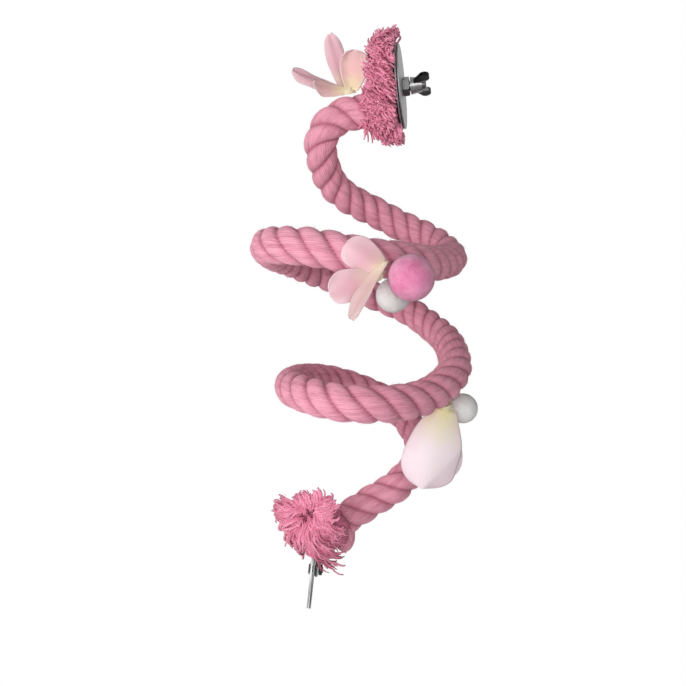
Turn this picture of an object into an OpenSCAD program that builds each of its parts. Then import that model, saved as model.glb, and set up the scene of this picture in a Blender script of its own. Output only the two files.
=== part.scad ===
// Spiral climbing rope for a parrot: laid cotton rope bent round a wire core, with a washer clamp
// at each end, the rope's own frayed ends, fabric flowers and yarn pompoms.
// The origin is the middle of the upper clamp, on the outer face of its inner washer.
// +Z is up, +X points out of the upper clamp, and -Y is the front.

/* [Spiral] */
// Width of the spiral from side to side, between the middles of the rope
spiral_w = 117; // [106:1:130]
// Depth of the spiral from front to back, between the middles of the rope
spiral_depth = 134; // [122:1:148]
// Drop of the rope's middle from its upper end to its lower end
spiral_drop = 265; // [240:1:300]

/* [Rope] */
// Diameter of the laid cotton rope
rope_d = 22; // [18:0.5:24]
// Diameter of the steel wire in the middle of the rope
wire_d = 2.6; // [2:0.1:3.2]
// Space between the wire and the cotton round it
wire_clearance = 0.35; // [0.2:0.05:0.6]
// Space between two lengths of rope where the spiral flexes
flex_gap = 0.3; // [0.2:0.05:0.6]
// Thickness of the single strand that shows at the lower end
strand_d = 11; // [8:0.5:13]

/* [Clamps] */
// Diameter of the clamp washers
washer_d = 50; // [40:1:60]
// Thickness of a clamp washer
washer_t = 1.2; // [1:0.1:2]
// Space between the two washers of a clamp at rest
clamp_gap = 0.4; // [0.2:0.1:3]
// Diameter of the upper bolt
bolt_d = 6; // [5:0.5:8]
// Space round the bolt in a washer and in the eye of the wire
hole_clearance = 0.4; // [0.2:0.1:0.8]
// Radial play of a nut on its thread
thread_fit = 0.05; // [0.02:0.01:0.1]
// Space between pieces that sit on each other
seat_gap = 0.2; // [0.1:0.05:0.4]
// Angle of the upper clamp above the level
upper_lift = 5; // [-10:1:20]
// Angle of the upper clamp towards the front
upper_turn = 10; // [0:1:20]
// Angle of the lower clamp above the level
lower_lift = 6; // [-10:1:20]
// Angle of the lower clamp towards the front
lower_turn = 0; // [-10:1:20]

/* [Upper clamp fasteners] */
// Width of the bolt head and of the hex nut across their flats
nut_flats = 10; // [9:0.5:13]
// Height of the bolt's hex head
head_h = 4; // [3:0.5:5]
// How far the bolt reaches past the inner washer
bolt_reach = 16; // [14:1:30]
// Height of the hex nut under the wing nut
nut_h = 4; // [3:0.5:6]
// Space between the hex nut and the wing nut
nut_groove = 0.7; // [0.3:0.1:0.9]
// Diameter of the wing nut's boss at its foot
wing_boss_d = 10.5; // [10:0.5:14]
// Diameter of the wing nut's boss at its top
wing_boss_top_d = 8.5; // [8.5:0.5:10]
// Height of the wing nut's boss
wing_boss_h = 7; // [6:0.5:9]
// Height of the wing nut over its wings
wing_h = 12; // [11:0.5:16]
// Distance between the outer ends of the wings
wing_span = 23; // [22:1:32]
// Thickness of a wing
wing_t = 2.6; // [2:0.1:3.5]
// Angle of the wings round the bolt
wing_turn = 72; // [0:1:90]

/* [Lower clamp fasteners] */
// Diameter of the lower screw
screw_d = 4; // [3:0.5:5]
// Width of the lower nut across its flats
lower_nut_flats = 7; // [7:0.5:9]
// Diameter of the screw's low domed head
screw_head_d = 8; // [7.5:0.5:11]
// Height of the screw's head
screw_head_h = 1.2; // [1.1:0.1:1.6]
// Width of the slot across the screw's head
screw_slot_w = 1.1; // [0.8:0.1:1.5]
// Depth of the slot across the screw's head
screw_slot_depth = 0.6; // [0.4:0.1:0.8]
// Height of the thin nut behind the wire's eye
lower_nut_h = 2.2; // [2:0.1:3.2]
// How far the screw reaches past that nut
screw_tail = 0.6; // [0.4:0.1:2]

/* [Frayed ends] */
// Radius of the upper frayed end
upper_fray_r = 36; // [33:1:40]
// Thickness of the upper frayed end along the bolt
upper_fray_t = 15; // [12:1:16]
// Radius of the lower frayed end
lower_fray_r = 27; // [24:1:29]
// Thickness of the lower frayed end
lower_fray_t = 27; // [20:1:29]
// Tufts round a frayed end
fray_tufts = 24; // [12:2:30]
// Depth of the partings between the tufts
fray_parting = 3; // [1:0.5:5]
// Room that the lower frayed end leaves round the washers
fray_clearance = 1; // [0.5:0.1:2]

/* [Flowers] */
// Length of the tallest petal of the upper flower
upper_petal_l = 37; // [30:1:40]
// Width of the tallest petal of the upper flower
upper_petal_w = 12; // [9:1:14]
// Length of the broad petals of the middle flower
middle_petal_l = 25; // [20:1:28]
// Width of the broad petals of the middle flower
middle_petal_w = 18; // [14:1:20]
// Length of the front petal of the lower flower
lower_petal_l = 50; // [42:1:54]
// Width of the front petal of the lower flower
lower_petal_w = 35; // [28:1:38]
// Thickness of a stiffened petal
petal_t = 0.8; // [0.6:0.1:1.2]
// Diameter of the glue dome under a flower
dome_d = 10; // [8:0.5:11]
// Height of the glue dome under a flower
dome_h = 4; // [3:0.5:5]
// Space between a glue dome or pompom and the rope
rope_seat = 0.3; // [0.2:0.1:0.6]
// Diameter of the large pink pompom
pink_pompom_d = 25.5; // [18:0.5:26]
// Diameter of the small white pompom beside it
white_pompom_d = 20.5; // [14:0.5:21]
// Diameter of the white pompom over the lower flower
lower_pompom_d = 19; // [16:0.5:22]

/* [Hidden] */

$fn = 64;
tube_sides = 12;
wire_sides = 8;
// Rings of a tube on the bend between two route points
rings_per_bend = 4;
// Share of the distance between two route points that each end of a bend runs straight ahead
bend_reach = 0.36;

// Bends of the rope's middle line, from the upper end down the spiral to the lower end, in true proportion
SHAPE = [
    [-14, 2, -14], [-34, 7, -15], [-47, 11, -24], [-50, 19, -38], [-39, 39, -59], [-6, 51, -77],
    [28, 37, -95], [32, -2, -107], [-13, -63, -105], [-59, -63, -98], [-80, -32, -99], [-65, 33, -111],
    [-21, 65, -130],
    [24, 59, -152], [37, -5, -172], [13, -49, -185], [-29, -69, -185], [-66, -33, -184], [-53, 28, -190],
    [-14, 49, -205], [11, 43, -223], [19, 25, -242], [3, 5, -258], [-16, -1, -268], [-34, -5, -279]
];
function reach(axis) = max([for (p = SHAPE) p[axis]]) - min([for (p = SHAPE) p[axis]]);
SPREAD = [spiral_w / reach(0), spiral_depth / reach(1), spiral_drop / reach(2)];
// Middle line of the rope at the spiral's own width, depth and drop
ROUTE = [for (p = SHAPE) [p.x * SPREAD.x, p.y * SPREAD.y, p.z * SPREAD.z]];
// Route points at which the spiral flexes, between the two ends of the rope
FLEX = [0, 7, 10, 14, 17, 24];
ROPE_TAIL = ROUTE[len(ROUTE) - 1];
LOWER_CLAMP = ROPE_TAIL + [-22, -2, -35];
// The strand that turns back beside the lower frayed end
STRAND_ROUTE = [for (p = [[-1, -1, -2], [1, -3, -9], [0, -4, -15], [-5, -5, -19]]) ROPE_TAIL + p];

rope_r = rope_d / 2;
wire_r = wire_d / 2;
bolt_r = bolt_d / 2;
bore_r = wire_r + wire_clearance;
screw_r = screw_d / 2;
upper_hole_r = bolt_r + hole_clearance;
lower_hole_r = screw_r + hole_clearance;
upper_eye_r = upper_hole_r + wire_r;
lower_eye_r = lower_hole_r + wire_r;
// Levels along a clamp's axis, from the outer face of the inner washer
eye_z = -washer_t - seat_gap - wire_r;
behind_eye_z = eye_z - wire_r - seat_gap;
outer_washer_z = clamp_gap;
nut_z = outer_washer_z + washer_t + seat_gap;
wing_nut_z = nut_z + nut_h + nut_groove;

function unit(v) = v / norm(v);
function heading(p, i) = unit(p[min(i + 1, len(p) - 1)] - p[max(i - 1, 0)]);
function bend_point(p, i, t) =
    let (ahead = bend_reach * norm(p[i + 1] - p[i]))
    let (a = p[i] + ahead * heading(p, i))
    let (b = p[i + 1] - ahead * heading(p, i + 1))
    pow(1 - t, 3) * p[i] + 3 * pow(1 - t, 2) * t * a + 3 * (1 - t) * t * t * b + t * t * t * p[i + 1];
function bends(p, first, last, steps) = [
    for (i = [first:last - 1])
        for (k = [0:steps - 1])
            bend_point(p, i, k / steps),
    p[last]
];

// Axes of a clamp: x, y across it and z out of it
function clamp_axes(lift, turn) = [
    [sin(lift) * cos(turn), sin(lift) * sin(turn), -cos(lift)],
    [-sin(turn), cos(turn), 0],
    [cos(lift) * cos(turn), cos(lift) * sin(turn), sin(lift)]
];
function on_clamp(place, axes, p) = place + p.x * axes[0] + p.y * axes[1] + p.z * axes[2];
UPPER_AXES = clamp_axes(upper_lift, -upper_turn);
HALF_TURN = 180;
LOWER_AXES = clamp_axes(lower_lift, HALF_TURN + lower_turn);

// Each tube's rings stand square to its line; the first direction across is carried along without twist
function first_across(t) = unit(cross(t, abs(t.z) < 0.9 ? [0, 0, 1] : [1, 0, 0]));
function carried(t, k = 0, u = []) =
    k == len(t) ? u
    : carried(t, k + 1, concat(u, [k == 0 ? first_across(t[0]) : unit(u[k - 1] - (u[k - 1] * t[k]) * t[k])]));
function rings(line, ends, r, sides) =
    let (n = len(line) - 1)
    let (t = [for (k = [0:n]) k == 0 ? ends[0] : k == n ? ends[1] : unit(line[k + 1] - line[k - 1])])
    let (u = carried(t))
    [
        for (k = [0:n])
            for (j = [0:sides - 1])
                let (a = 360 * j / sides)
                line[k] + r * (cos(a) * u[k] + sin(a) * cross(t[k], u[k]))
    ];
function wall_faces(count, sides, start, inwards) = [
    for (k = [0:count - 2])
        for (j = [0:sides - 1])
            let (a = start + k * sides + j)
            let (b = start + k * sides + (j + 1) % sides)
            for (f = [[a, a + sides, b + sides], [a, b + sides, b]])
                inwards ? [f[2], f[1], f[0]] : f
];

// A solid round tube along a line
module rod(line, ends, r, sides) {
    n = len(line);
    last = (n - 1) * sides;
    polyhedron(
        points = rings(line, ends, r, sides),
        faces = concat(
            wall_faces(n, sides, 0, false),
            [for (j = [1:sides - 2]) [0, j, j + 1]],
            [for (j = [1:sides - 2]) [last, last + j + 1, last + j]]
        )
    );
}

// A round tube with a bore along a line
module hose(line, ends, r, inner_r, sides) {
    n = len(line);
    inner = n * sides;
    last = (n - 1) * sides;
    polyhedron(
        points = concat(rings(line, ends, r, sides), rings(line, ends, inner_r, sides)),
        faces = concat(
            wall_faces(n, sides, 0, false),
            wall_faces(n, sides, inner, true),
            [
                for (j = [0:sides - 1])
                    let (b = (j + 1) % sides)
                    for (f = [[j, b, inner + b], [j, inner + b, inner + j]]) f
            ],
            [
                for (j = [0:sides - 1])
                    let (a = last + j)
                    let (b = last + (j + 1) % sides)
                    for (f = [[a, inner + b, b], [a, inner + a, inner + b]]) f
            ]
        )
    );
}

// One length of the spiral between two flex points, drawn back by half the flex gap at each of them
function turn_line(k) =
    let (line = bends(ROUTE, FLEX[k], FLEX[k + 1], rings_per_bend))
    let (n = len(line) - 1)
    let (head = k == 0 ? 0 : flex_gap / 2)
    let (tail = k == len(FLEX) - 2 ? 0 : flex_gap / 2)
    [
        for (i = [0:n])
            i == 0 ? line[0] + head * heading(ROUTE, FLEX[k])
            : i == n ? line[n] - tail * heading(ROUTE, FLEX[k + 1])
            : line[i]
    ];
function turn_ends(k) = [heading(ROUTE, FLEX[k]), heading(ROUTE, FLEX[k + 1])];

// The eye that each end of the wire is bent into, round the bolt, and its way from there to the rope
EYE_STEPS = 10;
EYE_SWEEP = 300;
function eye_line(place, axes, r, last_angle) = [
    for (k = [0:EYE_STEPS])
        let (a = last_angle - EYE_SWEEP + EYE_SWEEP * k / EYE_STEPS)
        on_clamp(place, axes, [r * cos(a), r * sin(a), eye_z])
];
UPPER_WAY = [[8, -upper_eye_r, eye_z], [12, -4.2, -6.5], [12.7, -2.5, -11]];
LOWER_WAY = [[-31, 0.6, -10.4], [-22, 2.5, -5], [-10, lower_eye_r, eye_z]];
UPPER_WIRE = concat(
    eye_line([0, 0, 0], UPPER_AXES, upper_eye_r, -90),
    [for (p = UPPER_WAY) on_clamp([0, 0, 0], UPPER_AXES, p)],
    turn_line(0)
);
LOWER_EYE = eye_line(LOWER_CLAMP, LOWER_AXES, lower_eye_r, 90);
LOWER_WIRE = concat(
    turn_line(4),
    [for (p = LOWER_WAY) on_clamp(LOWER_CLAMP, LOWER_AXES, p)],
    [for (k = [EYE_STEPS:-1:0]) LOWER_EYE[k]]
);

ROPE_LINE = bends(ROUTE, 0, len(ROUTE) - 1, rings_per_bend);
NEXT_TURN = 16;
least_gap = min([
    for (i = [0:len(ROPE_LINE) - 1])
        for (j = [i + NEXT_TURN:1:len(ROPE_LINE) - 1])
            norm(ROPE_LINE[i] - ROPE_LINE[j])
]) - rope_d;
rope_length = sum_of([for (i = [1:len(ROPE_LINE) - 1]) norm(ROPE_LINE[i] - ROPE_LINE[i - 1])]);
function sum_of(v, k = 0) = k == len(v) ? 0 : v[k] + sum_of(v, k + 1);
echo(least_gap_of_the_rope_to_itself = least_gap, rope_length = rope_length);
echo(flex_points = [for (i = [1:4]) [ROUTE[FLEX[i]], heading(ROUTE, FLEX[i])]]);
echo(upper_axis = UPPER_AXES[2], lower_axis = LOWER_AXES[2]);

module rope_turn(k) {
    color([0.91, 0.56, 0.69])
        hose(turn_line(k), turn_ends(k), rope_r, bore_r, tube_sides);
}
module rope_turn_1() rope_turn(0);
module rope_turn_2() rope_turn(1);
module rope_turn_3() rope_turn(2);
module rope_turn_4() rope_turn(3);
module rope_turn_5() rope_turn(4);

module core_wire(line, ends) {
    color([0.55, 0.56, 0.57])
        rod(line, ends, wire_r, wire_sides);
}
module core_wire_1() core_wire(UPPER_WIRE, [unit(UPPER_WIRE[1] - UPPER_WIRE[0]), turn_ends(0)[1]]);
module core_wire_2() core_wire(turn_line(1), turn_ends(1));
module core_wire_3() core_wire(turn_line(2), turn_ends(2));
module core_wire_4() core_wire(turn_line(3), turn_ends(3));
module core_wire_5() {
    last = len(LOWER_WIRE) - 1;
    core_wire(LOWER_WIRE, [turn_ends(4)[0], unit(LOWER_WIRE[last] - LOWER_WIRE[last - 1])]);
}

// What stands on a clamp's axis is drawn along +Z from the outer face of the inner washer
module on_upper() {
    rotate([0, 90 - upper_lift, -upper_turn])
        children();
}
module on_lower() {
    translate(LOWER_CLAMP)
        rotate([0, 90 - lower_lift, HALF_TURN + lower_turn])
            children();
}
module washer(z, hole_r) {
    edge = washer_t / 4;
    translate([0, 0, z])
        rotate_extrude()
            polygon([
                [hole_r, 0], [washer_d / 2 - edge, 0], [washer_d / 2, edge],
                [washer_d / 2, washer_t - edge], [washer_d / 2 - edge, washer_t], [hole_r, washer_t]
            ]);
}
module hexagon(height, flats) {
    cylinder(h = height, d = flats / cos(30), $fn = 6);
}
module hex_nut(z, height, flats, thread_r) {
    chamfer = 0.6;
    bevel_r = flats / 2 / cos(30);
    translate([0, 0, z])
        difference() {
            intersection() {
                hexagon(height, flats);
                rotate_extrude()
                    polygon([
                        [0, 0], [bevel_r - chamfer, 0], [bevel_r, chamfer / 2],
                        [bevel_r, height - chamfer / 2], [bevel_r - chamfer, height], [0, height]
                    ]);
            }
            translate([0, 0, -1])
                cylinder(h = height + 2, r = thread_r + thread_fit);
        }
}

module upper_bolt() {
    tip = 0.8;
    color([0.6, 0.61, 0.62])
        on_upper()
            union() {
                translate([0, 0, behind_eye_z - head_h])
                    hexagon(head_h, nut_flats);
                translate([0, 0, behind_eye_z - head_h / 2])
                    cylinder(h = bolt_reach - tip - behind_eye_z + head_h / 2, r = bolt_r);
                translate([0, 0, bolt_reach - tip])
                    cylinder(h = tip, r1 = bolt_r, r2 = bolt_r - tip);
            }
}
module upper_inner_washer() {
    color([0.56, 0.58, 0.57])
        on_upper()
            washer(-washer_t, upper_hole_r);
}
module upper_outer_washer() {
    color([0.58, 0.6, 0.59])
        on_upper()
            washer(outer_washer_z, upper_hole_r);
}
module upper_hex_nut() {
    color([0.72, 0.73, 0.74])
        on_upper()
            hex_nut(nut_z, nut_h, nut_flats, bolt_r);
}
// One wing is a flat plate that leans outwards and ends in a round ear
module wing_outline() {
    ear_r = (wing_h - wing_boss_h / 3) / 3;
    ear_x = wing_span / 2 - ear_r;
    ear_y = wing_h - ear_r;
    foot_x = wing_boss_top_d / 2 - 1;
    translate([ear_x, ear_y])
        circle(r = ear_r);
    polygon([
        [foot_x, wing_boss_h * 0.1], [ear_x + ear_r * 0.8, ear_y - ear_r * 0.6],
        [ear_x - ear_r * 0.8, ear_y + ear_r * 0.6], [foot_x, wing_boss_h * 0.8]
    ]);
}
module upper_wing_nut() {
    color([0.75, 0.76, 0.78])
        on_upper()
            translate([0, 0, wing_nut_z])
                rotate([0, 0, wing_turn])
                    difference() {
                        union() {
                            cylinder(h = wing_boss_h, d1 = wing_boss_d, d2 = wing_boss_top_d);
                            for (side = [0, 180])
                                rotate([0, 0, side])
                                    translate([0, wing_t / 2, 0])
                                        rotate([90, 0, 0])
                                            linear_extrude(wing_t)
                                                wing_outline();
                        }
                        translate([0, 0, -1])
                            cylinder(h = wing_h + 2, r = bolt_r + thread_fit);
                    }
}

module lower_screw() {
    head_z = outer_washer_z + washer_t + seat_gap;
    tail_z = behind_eye_z - lower_nut_h - screw_tail;
    color([0.6, 0.61, 0.62])
        on_lower()
            difference() {
                union() {
                    translate([0, 0, tail_z])
                        cylinder(h = head_z - tail_z + screw_head_h / 2, r = screw_r);
                    translate([0, 0, head_z])
                        cylinder(h = screw_head_h, d1 = screw_head_d, d2 = screw_head_d - 2 * screw_head_h);
                }
                translate([-screw_head_d, -screw_slot_w / 2, head_z + screw_head_h - screw_slot_depth])
                    cube([2 * screw_head_d, screw_slot_w, screw_head_h]);
            }
}
module lower_inner_washer() {
    color([0.5, 0.51, 0.51])
        on_lower()
            washer(-washer_t, lower_hole_r);
}
module lower_outer_washer() {
    color([0.66, 0.67, 0.67])
        on_lower()
            washer(outer_washer_z, lower_hole_r);
}
module lower_nut() {
    color([0.3, 0.3, 0.31])
        on_lower()
            hex_nut(behind_eye_z - lower_nut_h, lower_nut_h, lower_nut_flats, screw_r);
}

// A frayed end is a ring of tufts: its outline turns round an axis and is drawn in at each parting
module tufted_ring(outline, tufts) {
    turns = 2 * tufts;
    n = len(outline);
    polyhedron(
        points = [
            for (k = [0:turns - 1])
                let (a = 360 * k / turns)
                for (p = outline)
                    let (r = p[0] - (k % 2) * p[2])
                    [r * cos(a), r * sin(a), p[1]]
        ],
        faces = [
            for (k = [0:turns - 1])
                for (j = [0:n - 1])
                    let (a = k * n + j)
                    let (b = k * n + (j + 1) % n)
                    let (c = ((k + 1) % turns) * n + j)
                    let (d = ((k + 1) % turns) * n + (j + 1) % n)
                    for (f = [[a, d, b], [a, c, d]]) f
        ]
    );
}
module upper_frayed_end() {
    front = -washer_t - seat_gap;
    back = front - upper_fray_t;
    hole = nut_flats / 2 / cos(30) + 2 * seat_gap + wire_d;
    color([0.94, 0.55, 0.69])
        on_upper()
            tufted_ring([
                [hole, front, 0], [washer_d / 2, front, 0], [upper_fray_r - 3, front - 1, fray_parting],
                [upper_fray_r, (front + back) / 2, fray_parting], [upper_fray_r - 4, back + 1, fray_parting],
                [upper_fray_r - 16, back, 0], [hole, back, 0]
            ], fray_tufts);
}
LOWER_FRAY = ROPE_TAIL + [-17, -15, 0];
// The lower frayed end faces forwards, a little to the left and down
lower_fray_tilt = 105;
lower_fray_turn = 248;
module lower_frayed_end() {
    parting_r = 2;
    half = lower_fray_t / 2;
    sweep_out = 12;
    color([0.94, 0.55, 0.69])
        difference() {
            translate(LOWER_FRAY)
                rotate([0, lower_fray_tilt, lower_fray_turn])
                    tufted_ring([
                        [parting_r, half - 2, 0], [lower_fray_r / 2, half, 0],
                        [lower_fray_r - 3, half / 2, fray_parting], [lower_fray_r, 0, fray_parting],
                        [lower_fray_r - 4, -half / 2, fray_parting], [lower_fray_r / 2, -half, 0],
                        [parting_r, -half, 0]
                    ], fray_tufts);
            on_lower()
                translate([0, 0, -washer_t - seat_gap])
                    cylinder(h = washer_t + seat_gap + sweep_out, r = washer_d / 2 + fray_clearance);
        }
}
module lower_strand_end() {
    line = bends(STRAND_ROUTE, 0, len(STRAND_ROUTE) - 1, rings_per_bend);
    last = len(STRAND_ROUTE) - 1;
    color([0.85, 0.48, 0.6])
        rod(line, [heading(STRAND_ROUTE, 0), heading(STRAND_ROUTE, last)], strand_d / 2, tube_sides);
}

// A flower or pompom sits on the rope at a place along the route, on the side that it faces
function route_heading(i, t) = unit(bend_point(ROUTE, i, t + 0.01) - bend_point(ROUTE, i, t - 0.01));
function outward(i, t, out) = unit(out - (out * route_heading(i, t)) * route_heading(i, t));
function seat(i, t, out, above) = bend_point(ROUTE, i, t) + (rope_r + rope_seat + above) * outward(i, t, out);
UPPER_OUT = outward(0, 0.8, [-0.2, -0.2, 1]);
MIDDLE_OUT = outward(8, 0.16, [0.2, -0.7, -0.7]);
LOWER_OUT = outward(14, 0.7, [0.2, 0.1, -1]);
UPPER_SEAT = seat(0, 0.8, UPPER_OUT, 0);
MIDDLE_SEAT = seat(8, 0.16, MIDDLE_OUT, 0);
LOWER_SEAT = seat(14, 0.7, LOWER_OUT, 0);

module flower_dome(place, out) {
    color([0.93, 0.9, 0.74])
        translate(place)
            rotate([0, acos(out.z), atan2(out.y, out.x)])
                cylinder(h = dome_h, d1 = dome_d, d2 = dome_d * 0.6);
}
// A petal is a stiff sheet that widens from its root and closes in a blunt round tip.
// It is bowed along its length and cupped across its width.
petal_rows = 8;
petal_columns = 6;
petal_broadest = 0.62;
petal_root_share = 0.42;
petal_tip_fall = 0.96;
function petal_width(t) =
    let (opening = sin(90 * min(1, t / petal_broadest)))
    let (closing = max(0, (t - petal_broadest) / (1 - petal_broadest)))
    (petal_root_share + (1 - petal_root_share) * opening) * sqrt(1 - petal_tip_fall * pow(closing, 3));
module petal(place, root, aim, length, side, width, bow, cup) {
    along = length * unit(aim);
    across = unit(side - (side * along) * along / (along * along));
    normal = cross(unit(along), across);
    row = petal_columns + 1;
    count = (petal_rows + 1) * row;
    sheet = [
        for (i = [0:petal_rows])
            let (t = i / petal_rows)
            for (j = [0:petal_columns])
                let (s = 2 * j / petal_columns - 1)
                let (half = petal_width(t) * width / 2)
                let (lift = bow * 4 * t * (1 - t) + cup * petal_width(t) * s * s)
                place + root + t * along + s * half * across + lift * normal
    ];
    edge = concat(
        [for (j = [0:petal_columns - 1]) j],
        [for (i = [0:petal_rows - 1]) i * row + petal_columns],
        [for (j = [petal_columns:-1:1]) petal_rows * row + j],
        [for (i = [petal_rows:-1:1]) i * row]
    );
    polyhedron(
        points = concat(
            [for (p = sheet) p + petal_t / 2 * normal],
            [for (p = sheet) p - petal_t / 2 * normal]
        ),
        faces = concat(
            [
                for (i = [0:petal_rows - 1])
                    for (j = [0:petal_columns - 1])
                        let (a = i * row + j)
                        for (f = [[a, a + 1, a + row + 1], [a, a + row + 1, a + row]]) f
            ],
            [
                for (i = [0:petal_rows - 1])
                    for (j = [0:petal_columns - 1])
                        let (a = count + i * row + j)
                        for (f = [[a, a + row + 1, a + 1], [a, a + row, a + row + 1]]) f
            ],
            [
                for (k = [0:len(edge) - 1])
                    let (a = edge[k])
                    let (b = edge[(k + 1) % len(edge)])
                    for (f = [[a, count + b, b], [a, count + a, count + b]]) f
            ]
        )
    );
}
module upper_flower_dome() flower_dome(UPPER_SEAT, UPPER_OUT);
module upper_petal_1() {
    color([0.84, 0.72, 0.73])
        petal(
            UPPER_SEAT, [-2, 2, 2.5], [-0.2, 0.1, 0.7], upper_petal_l,
            [0.96, 0, 0.28], upper_petal_w, 2, 1.5
        );
}
module upper_petal_2() {
    color([0.88, 0.82, 0.83])
        petal(
            UPPER_SEAT, [-3.5, -1, 2.8], [-0.62, -0.08, 0.2], 0.9 * upper_petal_l,
            [0.25, 0.5, 0.8], 0.85 * upper_petal_w, 2, 1.5
        );
}
module upper_petal_3() {
    color([0.95, 0.86, 0.76])
        petal(
            UPPER_SEAT, [-2, -3, 2], [-0.36, -0.2, 0.02], 0.6 * upper_petal_l,
            [0.2, 0.5, 0.85], 0.9 * upper_petal_w, 2, 1.5
        );
}
module upper_petal_4() {
    color([0.94, 0.82, 0.78])
        petal(
            UPPER_SEAT, [2, -3, 1.8], [0.04, -0.14, 0.4], 0.62 * upper_petal_l,
            [0.95, 0.1, -0.3], 1.5 * upper_petal_w, 4, -2
        );
}

module middle_flower_dome() flower_dome(MIDDLE_SEAT, MIDDLE_OUT);
module middle_petal_1() {
    color([0.88, 0.72, 0.72])
        petal(
            MIDDLE_SEAT, [4, -2.4, 1.6], [-0.4, -0.1, 0.26], middle_petal_l,
            [0.5, -0.1, 0.85], middle_petal_w, -2, 2
        );
}
module middle_petal_2() {
    color([0.85, 0.73, 0.75])
        petal(
            MIDDLE_SEAT, [-2, -3, -2], [-0.46, -0.12, -0.16], middle_petal_l,
            [-0.3, -0.2, 0.9], middle_petal_w, -2, 2
        );
}
module middle_petal_3() {
    color([0.93, 0.82, 0.8])
        petal(
            MIDDLE_SEAT, [5, -4.2, 6], [-0.38, -0.2, -0.6], 1.45 * middle_petal_l,
            [0.5, -0.8, -0.3], 0.58 * middle_petal_w, 1.5, 1
        );
}
module pompom(place, diameter) {
    translate(place)
        sphere(d = diameter);
}
module pink_pompom() {
    color([0.91, 0.51, 0.72])
        pompom(seat(7, 0.98, [0.5, -0.8, -0.4], pink_pompom_d / 2), pink_pompom_d);
}
module middle_white_pompom() {
    color([0.92, 0.91, 0.88])
        pompom(seat(7, 0.78, [-0.34, 0.22, -0.9], white_pompom_d / 2), white_pompom_d);
}

module lower_flower_dome() flower_dome(LOWER_SEAT, LOWER_OUT);
module lower_petal_1() {
    color([0.94, 0.87, 0.88])
        petal(
            LOWER_SEAT, [0, -3, -2.6], [-0.26, -0.1, -0.98], lower_petal_l,
            [0.95, 0, -0.25], lower_petal_w, 4, -4
        );
}
module lower_petal_2() {
    color([0.94, 0.84, 0.8])
        petal(
            LOWER_SEAT, [-3.5, 2, -2.4], [-0.36, 0.12, -0.84], 0.9 * lower_petal_l,
            [0.8, 0.4, -0.4], 0.5 * lower_petal_w, -2, 2
        );
}
module lower_petal_3() {
    color([0.92, 0.83, 0.84])
        petal(
            LOWER_SEAT, [1, 0.5, -2.6], [0.08, 0.06, -0.9], 0.9 * lower_petal_l,
            [0.95, 0.1, 0.1], 0.5 * lower_petal_w, -2, 2
        );
}
module lower_white_pompom() {
    color([0.9, 0.91, 0.9])
        pompom(seat(14, 0.47, [0.4, 0, -0.9], lower_pompom_d / 2), lower_pompom_d);
}

rope_turn_1();
rope_turn_2();
rope_turn_3();
rope_turn_4();
rope_turn_5();
core_wire_1();
core_wire_2();
core_wire_3();
core_wire_4();
core_wire_5();
upper_bolt();
upper_inner_washer();
upper_outer_washer();
upper_hex_nut();
upper_wing_nut();
lower_screw();
lower_inner_washer();
lower_outer_washer();
lower_nut();
upper_frayed_end();
lower_frayed_end();
lower_strand_end();
upper_flower_dome();
upper_petal_1();
upper_petal_2();
upper_petal_3();
upper_petal_4();
middle_flower_dome();
middle_petal_1();
middle_petal_2();
middle_petal_3();
pink_pompom();
middle_white_pompom();
lower_flower_dome();
lower_petal_1();
lower_petal_2();
lower_petal_3();
lower_white_pompom();
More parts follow.
